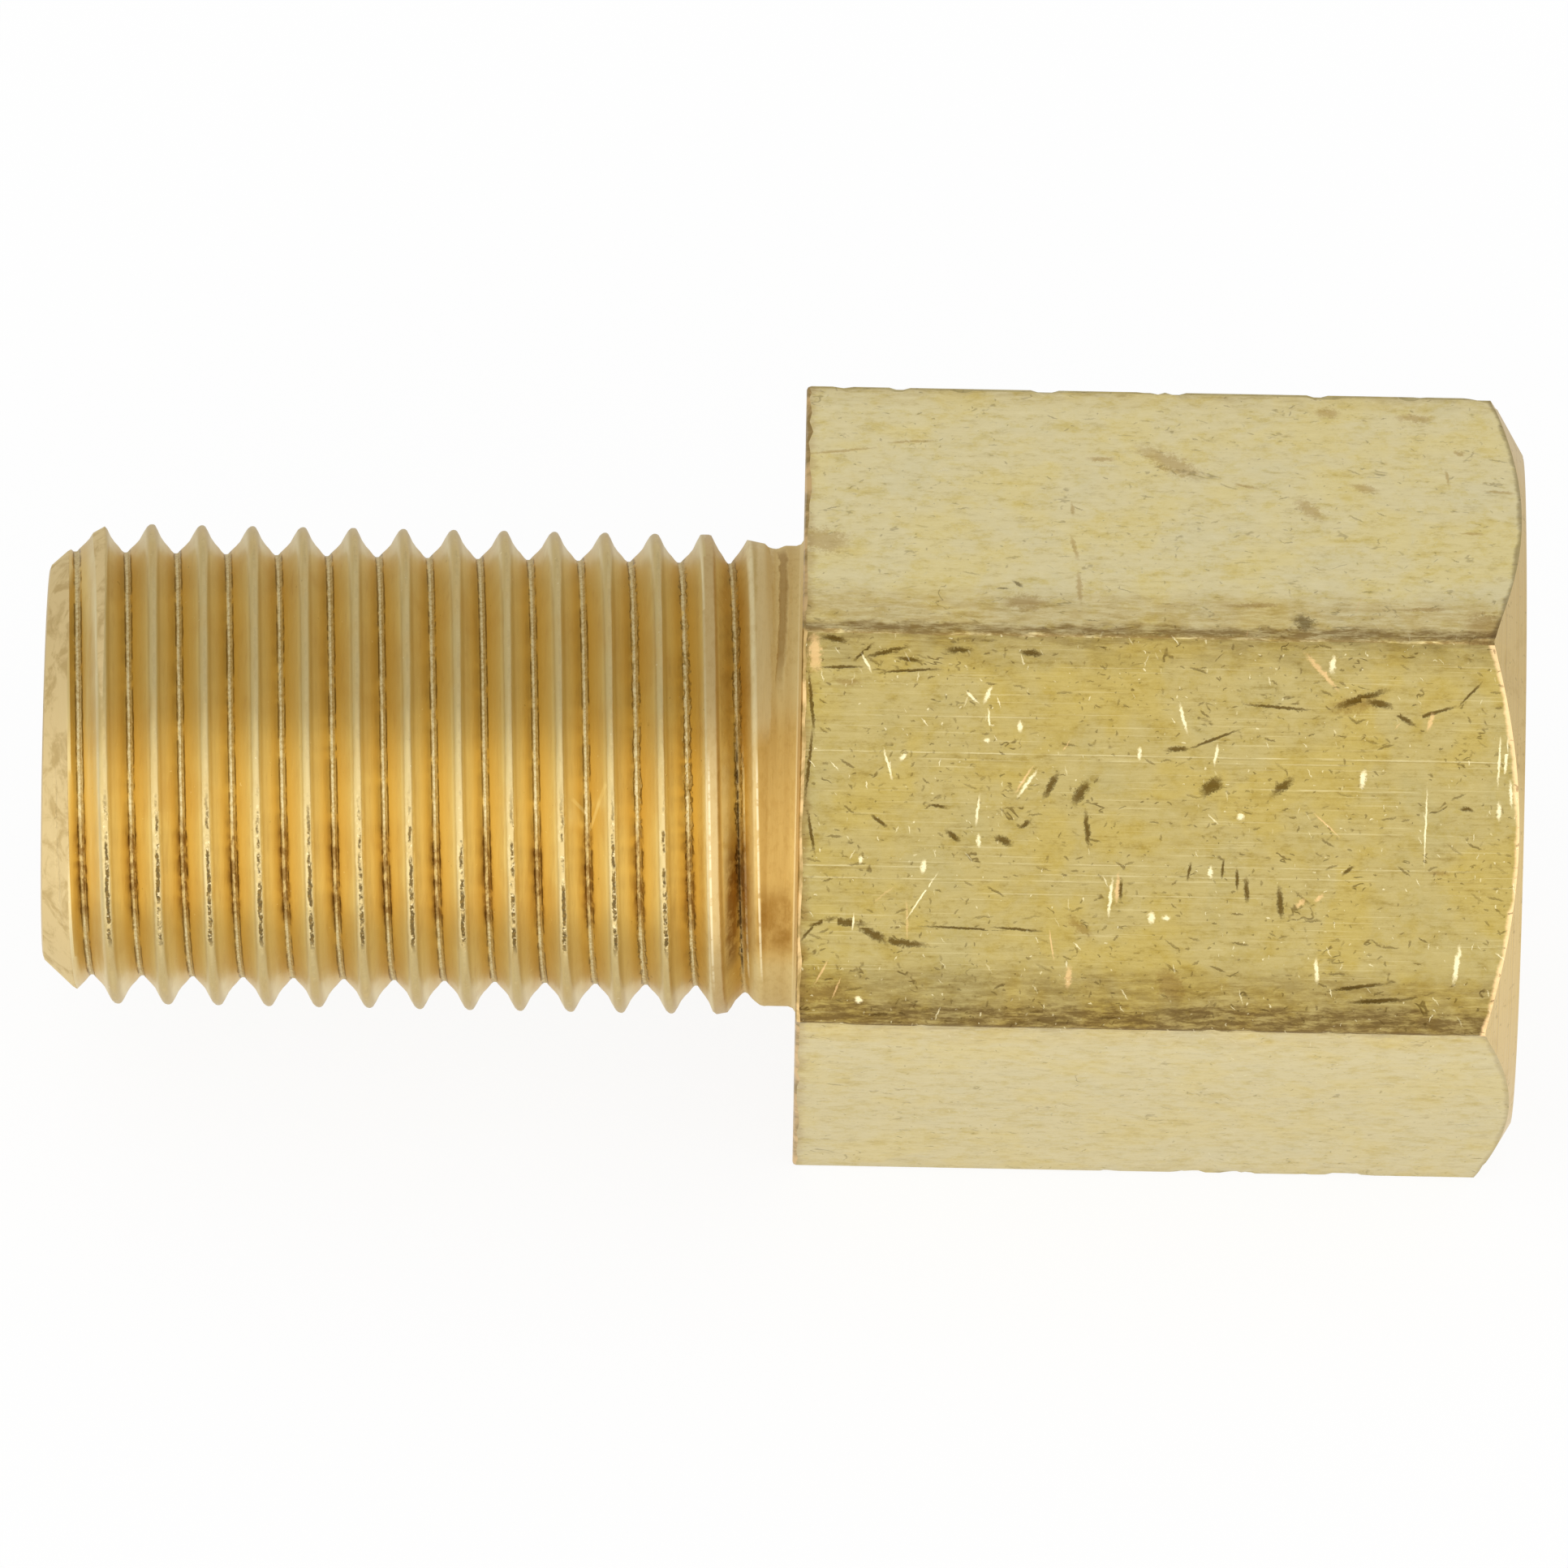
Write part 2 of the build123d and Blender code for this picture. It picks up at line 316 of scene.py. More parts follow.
# Marks on the flats as (along, across, half length, half width, degrees), in mm from the shoulder and
# from the flat's first edge, by kind and flat
LISTED_MARKS = {
    "dent_place": {
        1: (
            (0.62, 7.13, 0.34, 0.045, -18), (1.2, 7.12, 0.5, 0.085, 6), (1.82, 7.38, 0.46, 0.095, 30),
            (2.55, 7.6, 0.62, 0.075, 6), (10.1, 3.6, 0.3, 0.15, -38), (11.85, 3.55, 0.3, 0.11, -38),
            (6.9, 3.8, 0.31, 0.11, -58), (6.16, 3.65, 0.34, 0.075, -62), (7.07, 4.7, 0.42, 0.06, 84),
            (1.97, 4.6, 0.24, 0.04, 38), (3.78, 4.93, 0.19, 0.07, 42), (5.03, 5.03, 0.22, 0.09, 25),
            (5.55, 4.62, 0.17, 0.05, -38), (3.4, 4.2, 0.2, 0.035, 12), (13.75, 1.35, 0.62, 0.08, -20),
            (14.2, 1.48, 0.3, 0.08, 12), (14.75, 1.8, 0.36, 0.05, 32), (15.5, 1.68, 0.58, 0.04, -18),
            (16.4, 1.2, 0.36, 0.03, -48), (13.8, 8.5, 0.65, 0.045, -8), (14.3, 8.84, 0.62, 0.055, -4),
            (9.6, 5.7, 0.2, 0.03, -80), (10.42, 5.62, 0.22, 0.03, -86), (10.78, 5.88, 0.26, 0.035, 88),
            (11.02, 6.15, 0.28, 0.06, 86), (11.85, 6.45, 0.38, 0.07, 84), (7.93, 6.2, 0.24, 0.045, -86),
            (4.1, 7.22, 0.95, 0.025, 2), (5.4, 7.22, 0.55, 0.03, 4), (0.28, 7.38, 0.26, 0.035, -52),
            (0.95, 0.8, 0.48, 0.035, -3), (2.65, 0.86, 0.68, 0.03, -4), (1.5, 0.42, 0.28, 0.035, -45),
            (2.1, 0.4, 0.5, 0.05, -14), (2.62, 0.58, 0.3, 0.045, 6), (3.85, 0.33, 0.3, 0.07, 0),
            (5.62, 0.36, 0.26, 0.08, 4), (0.26, 1.7, 0.7, 0.04, 84), (0.22, 3.2, 0.8, 0.035, 95),
            (0.3, 4.9, 0.5, 0.035, 80), (0.8, 0.1, 0.3, 0.07, 10), (9.25, 2.68, 0.25, 0.06, -4),
            (10.15, 2.42, 0.62, 0.03, -22), (11.7, 1.6, 0.75, 0.035, 4), (16.38, 4.05, 0.16, 0.05, 6),
            (13.5, 5.62, 0.17, 0.04, -38)),
        0: (
            (12.3, 9.12, 0.3, 0.22, 50), (5.27, 7.8, 0.17, 0.06, 45), (4.9, 8.0, 0.14, 0.04, 0))},
    "stain_place": {
        1: (
            (6.95, 7.15, 0.36, 0.12, 40), (9.2, 8.55, 0.45, 0.28, 60), (15.75, 5.65, 0.28, 0.06, 2),
            (1.15, 1.18, 0.3, 0.07, 5), (0.6, 8.9, 0.7, 0.2, -10), (13.6, 1.5, 0.6, 0.2, -10)),
        0: (
            (12.45, 4.6, 0.5, 0.2, 50), (13.8, 3.7, 0.32, 0.14, 20), (5.45, 8.55, 0.5, 0.3, 5),
            (2.6, 2.12, 0.52, 0.05, -6), (0.9, 2.55, 0.8, 0.05, -10), (6.6, 4.75, 0.25, 0.05, 85),
            (6.66, 6.3, 0.48, 0.06, 80), (6.78, 7.9, 0.6, 0.07, 88), (7.3, 2.7, 0.32, 0.09, 2),
            (15.05, 0.8, 0.45, 0.16, 4), (12.9, 0.65, 0.3, 0.18, 10), (15.85, 3.2, 0.28, 0.04, 85),
            (16.15, 2.2, 0.14, 0.1, 40), (17.15, 3.75, 0.38, 0.06, 5), (16.45, 5.45, 0.28, 0.05, 0),
            (9.0, 2.8, 0.95, 0.3, 38), (10.9, 3.7, 0.34, 0.05, 18), (15.3, 8.55, 0.6, 0.08, -3),
            (11.1, 8.5, 0.7, 0.08, -4), (16.8, 9.2, 0.55, 0.5, 0), (0.5, 6.2, 0.6, 0.45, 20))},
    "glint_place": {
        1: (
            (2.16, 3.2, 0.36, 0.03, 73), (2.52, 3.0, 0.1, 0.06, -60), (4.2, 1.5, 0.2, 0.035, 42),
            (4.57, 1.42, 0.2, 0.05, -68), (4.62, 2.05, 0.26, 0.025, 86), (4.57, 2.56, 0.07, 0.06, 0),
            (5.38, 2.2, 0.13, 0.06, 85), (5.58, 3.62, 0.36, 0.045, -56), (4.38, 4.3, 0.34, 0.035, -84),
            (4.42, 5.05, 0.15, 0.05, 88), (3.08, 5.72, 0.16, 0.06, -75), (1.52, 5.58, 0.09, 0.06, 90),
            (1.38, 7.12, 0.18, 0.025, -85), (9.38, 1.92, 0.34, 0.04, 75), (10.2, 2.82, 0.24, 0.035, -82),
            (8.32, 2.82, 0.15, 0.05, -85), (10.83, 4.35, 0.09, 0.07, 0), (7.68, 6.4, 0.44, 0.045, -85),
            (8.7, 6.88, 0.14, 0.075, -88), (9.06, 6.88, 0.1, 0.06, 0), (10.12, 5.72, 0.14, 0.055, -88),
            (13.02, 0.52, 0.2, 0.07, -86), (13.82, 3.35, 0.22, 0.07, -80), (15.38, 4.5, 0.85, 0.022, -89),
            (17.15, 2.85, 0.55, 0.03, -88), (17.32, 2.75, 0.45, 0.035, -86), (17.45, 3.65, 0.3, 0.04, 86),
            (17.17, 4.08, 0.22, 0.05, 88), (16.22, 7.9, 0.45, 0.06, -82), (12.78, 8.12, 0.28, 0.05, 86),
            (3.05, 6.45, 0.62, 0.02, -57), (1.58, 0.68, 0.24, 0.03, 62), (1.55, 9.05, 0.1, 0.07, 30)),
        0: (
            (10.75, 4.6, 0.14, 0.12, 0), (3.4, 3.25, 0.18, 0.07, -20), (7.4, 2.95, 0.34, 0.06, 5))},
    "copper_place": {
        1: (
            (12.75, 0.7, 0.55, 0.06, 48), (7.85, 6.15, 0.34, 0.05, -86), (6.68, 8.4, 0.26, 0.07, -86),
            (15.45, 1.9, 0.22, 0.06, -75), (12.35, 6.45, 0.14, 0.06, -40), (12.8, 6.32, 0.13, 0.05, -40),
            (5.5, 3.52, 0.36, 0.03, -58), (6.26, 7.6, 0.34, 0.02, 80), (0.62, 8.38, 0.3, 0.025, -62),
            (12.95, 4.5, 0.38, 0.02, 42), (0.32, 0.45, 0.45, 0.14, 85))},
}
MARK_MARGIN = 0.30              # a face carries a mark that ends this near to its middle, or nearer
NO_MARK = (9.0, 9.0)            # place given to a face that carries none, far outside any mark
# Long drag lines by flat, as (across, start along, end along, half width, strength)
DRAG_LINES = {
    1: (
        (2.88, -0.5, 18.0, 0.01, 0.34), (3.66, 10.5, 15.5, 0.013, 0.34), (5.72, -0.5, 3.6, 0.011, 0.34),
        (5.86, 5.2, 14.6, 0.01, 0.25), (1.98, 0.5, 6.5, 0.01, 0.22), (6.02, -0.5, 9.0, 0.01, 0.25),
        (5.6, 2.0, 17.0, 0.009, 0.22), (6.35, 4.0, 12.0, 0.009, 0.22), (3.02, 6.0, 14.0, 0.009, 0.22)),
    4: (
        (3.1, 2.0, 15.0, 0.012, 0.55), (6.4, -0.5, 9.0, 0.012, 0.45)),
}


# ---------------------------------------------------------------- rings of the body
def between(start, end, share):
    """The number that lies at share of the way from start to end."""
    return start + (end - start) * share


def outward(flat):
    """Direction in which a flat faces, as (y, z)."""
    angle = math.radians(90) + SIXTH * flat
    return Vector((math.cos(angle), math.sin(angle)))


def hexagon_points():
    """Outline of the hexagon from the top flat on, as one (y, z) for each column. Each flat rolls
    off towards its corners, where its columns crowd, and the corner after it follows."""
    points = []
    for flat in range(6):
        out = outward(flat)
        along = Vector((-out.y, out.x))
        before, after = (ROLL_DROP * share for share in SHOULDER_ROLL[flat])
        for step in range(FLAT_COLUMNS + 1):
            even = 2 * step / FLAT_COLUMNS - 1
            across = FLAT_REACH * between(even, math.sin(math.pi / 2 * even), COLUMN_CROWDING)
            roll = max(0.0, 1 - (FLAT_REACH - abs(across)) / ROLL_WIDTH) ** 2
            drop = roll * (after if across > 0 else before)
            points.append(out * (HALF_FLATS - drop) + along * across)
        centre = out * (HALF_FLATS - CORNER_RADIUS) + along * FLAT_REACH
        next_drop = outward(flat + 1) * ROLL_DROP * SHOULDER_ROLL[(flat + 1) % 6][0]
        for step in range(1, CORNER_COLUMNS):
            share = step / CORNER_COLUMNS
            rounded = out * math.cos(SIXTH * share) + along * math.sin(SIXTH * share)
            points.append(centre + rounded * CORNER_RADIUS - between(out * after, next_drop, share))
    return points


def add_rings(work, rings, region, uv_layer):
    """Joins rings of vertices with quads. Each ring is (vertices, distances along, distances round),
    and the last distance round is the whole way."""
    for (near, near_along, near_round), (far, far_along, far_round) in zip(rings, rings[1:]):
        for i in range(COLUMNS):
            j = (i + 1) % COLUMNS
            face = work.faces.new((near[i], near[j], far[j], far[i]))
            face.material_index = region + i // (COLUMNS // 6) if region == DRAWN else region
            face.smooth = True
            places = ((near_along[i], near_round[i]), (near_along[j], near_round[i + 1]),
                      (far_along[j], far_round[i + 1]), (far_along[i], far_round[i]))
            for loop, uv in zip(face.loops, places):
                loop[uv_layer].uv = uv


def circle_ring(work, x, radius, first=0):
    """A ring of vertices about the axis at x. Columns are counted from +Y, and first is its first."""
    angles = [2 * math.pi * (first + i) / COLUMNS for i in range(COLUMNS)]
    vertices = [work.verts.new((x, radius * math.cos(angle), radius * math.sin(angle))) for angle in angles]
    return vertices, [x - radius] * COLUMNS, [2 * math.pi * radius * i / COLUMNS for i in range(COLUMNS + 1)]


def ding(x, y, z):
    """Depth of the small dings along the hexagon's corners, in millimetres."""
    beside_corner = max(0.0, math.hypot(y, z) - HALF_FLATS - DING_REACH)
    knocked = max(0.0, noise.fractal(Vector((x * 0.9, y * 1.3, z * 1.3)), 1.0, 2.0, 3) - DING_START)
    return min(DING_DEPTH, beside_corner * knocked)


def hexagon_rings(work):
    """Rings of the hexagon over the shoulder's broken edge, along the sides and over the chamfer,
    and the column of a circle ring that lies beside their first."""
    outline = hexagon_points()
    distances = [0.0]
    for point, following in zip(outline, outline[1:] + outline[:1]):
        distances.append(distances[-1] + (following - point).length)
    burr = [BURR_WIDTH * (0.55 + 1.1 * abs(noise.fractal(Vector((3.1, y * 1.6, z * 1.6)), 1.0, 2.0, 3)))
            for y, z in outline]
    chamfer_x = [OPEN_END_X - max(0.0, point.length - END_CIRCLE_RADIUS) * CHAMFER_SLOPE for point in outline]

    def ring(place):
        """A ring by place, which gives x and distance from the axis for a column and its own distance."""
        vertices = []
        for i, (y, z) in enumerate(outline):
            own = math.hypot(y, z)
            x, radius = place(i, own)
            scale = (radius - ding(x, y, z)) / own
            vertices.append(work.verts.new((x, y * scale, z * scale)))
        return vertices, [vertex.co.x for vertex in vertices], distances

    shoulder = []
    for along, inward in BURR_STEPS:
        shoulder.append(ring(lambda i, own: (burr[i] * along, own - burr[i] * inward)))
    sides = shoulder[-1:]
    for row in range(1, HEX_ROWS + 1):
        sides.append(ring(lambda i, own: (between(burr[i], chamfer_x[i], row / HEX_ROWS), own)))
    chamfer = sides[-1:]
    for row in range(1, CHAMFER_ROWS + 1):
        chamfer.append(ring(lambda i, own: (between(chamfer_x[i], OPEN_END_X, row / CHAMFER_ROWS),
                                            between(own, END_CIRCLE_RADIUS, row / CHAMFER_ROWS))))
    from_y_axis = [abs(z) - y for y, z in outline]
    return shoulder, sides, chamfer, -from_y_axis.index(min(from_y_axis)) % COLUMNS


def in_frame(mark, flat, spot):
    """A spot on the flats as a mark has it: along and across the mark, from its middle."""
    along, across, _, _, degrees = mark
    away = spot - Vector((along, flat * FLAT_PITCH + across))
    cosine, sine = math.cos(math.radians(degrees)), math.sin(math.radians(degrees))
    return away.x * cosine + away.y * sine, away.y * cosine - away.x * sine


def place_marks(work, uv_layer):
    """Lays each listed mark over the faces it crosses: their corners get their places in the mark's
    own frame, where it reaches from -1 to 1 both ways. A face carries its nearest mark of a kind."""
    for name, listed in LISTED_MARKS.items():
        layer = work.loops.layers.uv.new(name)
        for face in work.faces:
            flat = face.material_index - DRAWN
            corners = [loop[uv_layer].uv.copy() for loop in face.loops]
            nearest, nearest_gap = None, MARK_MARGIN
            for mark in listed.get(flat, ()):
                x, y = in_frame(mark, flat, (corners[0] + corners[2]) / 2)
                gap = math.hypot(max(0.0, abs(x) - mark[2]), y) - mark[3]
                if gap < nearest_gap:
                    nearest, nearest_gap = mark, gap
            for loop, corner in zip(face.loops, corners):
                loop[layer].uv = NO_MARK
                if nearest:
                    x, y = in_frame(nearest, flat, corner)
                    loop[layer].uv = (x / nearest[2], y / nearest[3])


def add_threads(work, materials):
    """The male thread's sleeve from the tip to the shank, and the female thread's in the bore."""
    male = thread_mesh(
        "rolled_thread", ROLLED_PROFILE, pitch=MALE_PITCH, low_radius=ROOT_RADIUS, high_radius=CREST_RADIUS,
        blank_radius=SHANK_RADIUS, first_x=SLEEVE_X[0], last_x=SLEEVE_X[1], crest_x=CREST_X,
        highs_gone_x=CREST_SINK[1], highs_full_x=CREST_SINK[0], lows_gone_x=ROOT_RISE[1],
        lows_full_x=ROOT_RISE[0], widen_start_x=CREST_WIDEN[0], widen_end_x=CREST_WIDEN[1], widening=0.32,
        steep_cone_radius=TIP_CONES[0][0], steep_cone_slope=TIP_CONES[0][1],
        flat_cone_radius=TIP_CONES[1][0], flat_cone_slope=TIP_CONES[1][1], cone_x=TIP_X, internal=False,
        waviness=0.10, rows_per_pitch=20, turns=math.ceil((SLEEVE_X[1] - TIP_X) / MALE_PITCH) + 1,
        columns=COLUMNS, seed=3.0, material=materials[ROLLED])
    # The grooves cut into a plain bore: nothing sinks below it, nothing widens, and there is one cone
    female = thread_mesh(
        "tapped_thread", TAPPED_PROFILE, pitch=FEMALE_PITCH, low_radius=BORE_RADIUS,
        high_radius=GROOVE_RADIUS, blank_radius=BORE_RADIUS, first_x=BORE_END_X + PLAIN_END,
        last_x=OPEN_END_X - MOUTH_BREAK, crest_x=0.3, highs_gone_x=GROOVE_START[0],
        highs_full_x=GROOVE_START[1], lows_gone_x=0.0, lows_full_x=1.0, widen_start_x=0.0, widen_end_x=1.0,
        widening=0.0, steep_cone_radius=MOUTH_RADIUS, steep_cone_slope=1.0, flat_cone_radius=0.0,
        flat_cone_slope=0.0, cone_x=OPEN_END_X, internal=True, waviness=0.04,
        rows_per_pitch=8, turns=math.ceil(BORE_WALL_LENGTH / FEMALE_PITCH) + 1, columns=COLUMNS, seed=9.0,
        material=materials[TAPPED])
    for mesh, region in ((male, ROLLED), (female, TAPPED)):
        known = len(work.faces)
        work.from_mesh(mesh)
        work.faces.ensure_lookup_table()
        for face in work.faces[known:]:
            runs_out = region == ROLLED and face.calc_center_median().x > RUN_OUT_START_X
            face.material_index = RUN_OUT if runs_out else region
            face.smooth = True
        bpy.data.meshes.remove(mesh)


def add_round_parts(work, uv_layer):
    """What lies round the axis beside the threads: shank, faces, bore, passage and tip."""
    shank = [(SLEEVE_X[1], SHANK_RADIUS)]
    shank += [(-SHOULDER_FLARE * back, SHANK_RADIUS + SHOULDER_FLARE * out) for back, out in FLARE_STEPS]
    shoulder_face = shank[-1:] + [(0.0, radius) for radius in SHOULDER_RINGS]
    end_face = [(OPEN_END_X, radius) for radius in (*END_RINGS, MOUTH_RADIUS + 3 * MOUTH_BREAK)]
    end_face += [(OPEN_END_X - MOUTH_BREAK, MOUTH_RADIUS - MOUTH_BREAK)]
    point_depth = (BORE_RADIUS - PASSAGE_RADIUS) / math.tan(DRILL_POINT_HALF_ANGLE)
    passage_start = BORE_END_X - point_depth
    bore = [(BORE_END_X + PLAIN_END, BORE_RADIUS), (BORE_END_X, BORE_RADIUS),
            (BORE_END_X - point_depth / 2, (BORE_RADIUS + PASSAGE_RADIUS) / 2),
            (passage_start + 0.6 * DRILL_BREAK, PASSAGE_RADIUS + DRILL_BREAK)]
    for row in range(PASSAGE_ROWS + 1):
        x = between(passage_start - DRILL_BREAK, TIP_X + PASSAGE_BREAK, row / PASSAGE_ROWS)
        bore.append((x, PASSAGE_RADIUS))
    tip = bore[-1:]
    tip += [(TIP_X, radius) for radius in (PASSAGE_RADIUS + PASSAGE_BREAK, TIP_RING, TIP_FACE_RADIUS)]
    tip += [(SLEEVE_X[0], TIP_CONES[0][0] + TIP_CONES[0][1] * TIP_BREAK)]
    for region, places in ((RUN_OUT, shank), (TURNED, shoulder_face), (TURNED, end_face), (TAPPED, bore),
                           (TURNED, tip)):
        add_rings(work, [circle_ring(work, x, radius) for x, radius in places], region, uv_layer)


def body_mesh(materials):
    """The whole piece as one closed mesh, in metres."""
    work = bmesh.new()
    uv_layer = work.loops.layers.uv.new("surface_mm")
    add_threads(work, materials)
    add_round_parts(work, uv_layer)
    shoulder, sides, chamfer, first = hexagon_rings(work)
    face_rim = circle_ring(work, 0.0, SHOULDER_RINGS[-1], first)
    end_rim = circle_ring(work, OPEN_END_X, END_RINGS[0], first)
    for region, rings in ((TURNED, [face_rim, shoulder[0]]), (BURR, shoulder), (DRAWN, sides),
                          (TURNED, chamfer + [end_rim])):
        add_rings(work, rings, region, uv_layer)

    place_marks(work, uv_layer)
    bmesh.ops.remove_doubles(work, verts=work.verts, dist=WELD)
    bmesh.ops.recalc_face_normals(work, faces=work.faces)
    for edge in work.edges:
        middle = (edge.verts[0].co + edge.verts[1].co) / 2
        rounded = middle.x < SLEEVE_X[1] and math.hypot(middle.y, middle.z) > SHANK_RADIUS
        edge.smooth = rounded or edge.calc_face_angle(0.0) < SHARP_ANGLE
    bmesh.ops.scale(work, vec=(MM, MM, MM), verts=work.verts)
    mesh = bpy.data.meshes.new("thread_adapter")
    work.to_mesh(mesh)
    work.free()
    for material in materials:
        mesh.materials.append(material)
    return mesh


# ---------------------------------------------------------------- materials
def new_material(name):
    """A material with an empty node tree, and the tree."""
    material = bpy.data.materials.new(name)
    material.use_nodes = True
    material.node_tree.nodes.clear()
    return material, material.node_tree


def dress(tree, colour, roughness, height, strength, depth, **others):
    """Gives a tree its metal, whose bump is depth millimetres deep. others are further inputs."""
    bump = add(tree, "ShaderNodeBump", {"Height": height, "Strength": strength, "Distance": depth * MM})
    shader = add(tree, "ShaderNodeBsdfPrincipled", {
        "Base Color": colour, "Metallic": 1.0, "Roughness": roughness, "Normal": Value(bump),
        **{name.replace("_", " ").title(): value for name, value in others.items()}})
    add(tree, "ShaderNodeOutputMaterial", {"Surface": Value(shader)})


def millimetres(tree):
    """Object coordinates in millimetres, as a vector and its x, y and z."""
    place = Value(add(tree, "ShaderNodeVectorMath", {
        0: Value(add(tree, "ShaderNodeTexCoord"), "Object"), 3: 1 / MM}, operation="SCALE"))
    return place, *parts(place)


def stretched(vector, scale, offset=(0.0, 0.0, 0.0)):
    """vector scaled unevenly and moved."""
    return Value(add(vector.tree, "ShaderNodeVectorMath", {0: vector, 1: scale, 2: offset},
                     operation="MULTIPLY_ADD"))


def grain(vector, size, detail=2.0, roughness=0.55, distortion=0.0, stretch=(), offset=()):
    """Noise with features of about size in the vector's units. stretch draws it out as streaks,
    and offset gives a fresh draw."""
    if stretch or offset:
        vector = stretched(vector, stretch or (1.0, 1.0, 1.0), offset or (0.0, 0.0, 0.0))
    return Value(add(vector.tree, "ShaderNodeTexNoise", {
        "Vector": vector, "Scale": 1 / size, "Detail": detail, "Roughness": roughness,
        "Distortion": distortion}))


def joined(*masks):
    """The strongest of several masks, without those that are None."""
    strongest, *others = [mask for mask in masks if mask is not None]
    for mask in others:
        strongest = maths("MAXIMUM", strongest, mask)
    return strongest


MARK_INPUTS = ("Surface", "Cell", "Length", "Width", "Angle", "Spread", "Share")


def marks_tree():
    """A node group for scattered single marks: a mask of tapered strokes, one at most in each
    cell of a loose mesh, thick in some places and few in others. Sizes in millimetres, angles in
    radians from the axis of the part."""
    tree = bpy.data.node_groups.new("scattered_marks", "ShaderNodeTree")
    for title in MARK_INPUTS:
        kind = "Vector" if title == "Surface" else "Float"
        tree.interface.new_socket(title, in_out="INPUT", socket_type="NodeSocket" + kind)
    tree.interface.new_socket("Mask", in_out="OUTPUT", socket_type="NodeSocketFloat")
    given = add(tree, "NodeGroupInput")
    surface, cell, length, width, angle, spread, share = (Value(given, title) for title in MARK_INPUTS)
    cells = add(tree, "ShaderNodeTexVoronoi", {
        "Vector": surface, "Scale": maths("DIVIDE", 1.0, cell), "Randomness": 1.0},
        voronoi_dimensions="2D", feature="F1")
    centre = Value(cells, "Position")
    draws = add(tree, "ShaderNodeSeparateColor", {0: Value(cells, "Color")})
    lean, bulk, luck = (Value(draws, key) for key in range(3))
    away = Value(add(tree, "ShaderNodeVectorMath", {0: surface, 1: centre}, operation="SUBTRACT"))
    long_part, side_part, _ = parts(Value(add(tree, "ShaderNodeVectorRotate", {
        "Vector": away, "Angle": ((lean - 0.5) * spread + angle) * -1.0}, rotation_type="Z_AXIS")))
    size = bulk * bulk * 1.1 + 0.3
    along = long_part / (length * size)
    # Some strokes bow a little
    bowed = along * along * (width * (lean * 1.6 - 0.8)) + side_part
    across = bowed / (width * (size * 0.5 + 0.5))
    stroke = ramp(along * along + across * across, 0.15, 1.0, 1.0, 0.0)
    crowd = ramp(grain(centre, 2.4, 2.0, 0.6), 0.38, 0.66, 0.1, 1.8)
    kept = maths("LESS_THAN", luck, share * crowd)
    strength = ramp(luck, 0.0, share, 1.0, 0.35, smooth=False)
    add(tree, "NodeGroupOutput", {"Mask": stroke * (kept * strength)})
    return tree


MARKS = marks_tree()


def marks(surface, cell, length, width, angle, spread, share, offset):
    """Scattered strokes on a surface laid out in millimetres. angle and spread are in degrees."""
    moved = stretched(surface, (1.0, 1.0, 1.0), (offset, offset * 0.7, 0.0))
    given = (moved, cell, length, width, math.radians(angle), math.radians(spread), share)
    return Value(add(surface.tree, "ShaderNodeGroup", zip(MARK_INPUTS, given), node_tree=MARKS))


# The six flats, from the top one towards the front: tone of the metal, share of wear, its first
# and last edges as (breadth of the dull core, how dull, breadth in all), and the colour and
# strength of its line at the chamfer. Each side of the bar has tarnished and rubbed in its own way,
# and the tones of the three flats in view are painted light and shade as well: the top and lower
# flats paler and the front one darker, to make up for the light that each of them gets.
FLATS = (
    ("#f4e5af", 0.25, (0.10, 0.30, 0.7), (0.12, 1.00, 1.70), ("#846c3c", 0.60)),
    ("#b19f63", 1.00, (0.08, 0.40, 0.8), (0.40, 0.95, 1.20), ("#ffd9a0", 0.85)),
    ("#dccc97", 0.15, (0.04, 0.42, 1.3), (0.10, 0.10, 0.6), ("#a58d58", 0.40)),
    ("#dccf98", 0.35, (0.10, 0.50, 0.7), (0.15, 0.60, 0.8), ("#a58d58", 0.50)),
    ("#cbb97c", 0.80, (0.10, 0.60, 0.8), (0.25, 0.70, 0.8), ("#e6c48a", 0.60)),
    ("#d8c98e", 0.50, (0.10, 0.60, 0.7), (0.10, 0.30, 0.7), ("#8d7440", 0.60)),
)


def listed_marks(frayed, flat, layer):
    """Mask of the listed marks of one kind, or None where this flat has none."""
    if flat not in LISTED_MARKS[layer]:
        return None
    here = Value(add(frayed.tree, "ShaderNodeUVMap", uv_map=layer))
    placed = Value(add(frayed.tree, "ShaderNodeVectorMath", {0: here, 1: frayed}))
    reach = Value(add(frayed.tree, "ShaderNodeVectorMath", {0: placed}, operation="LENGTH"), "Value")
    return ramp(reach, 0.45, 1.4, 1.0, 0.0)


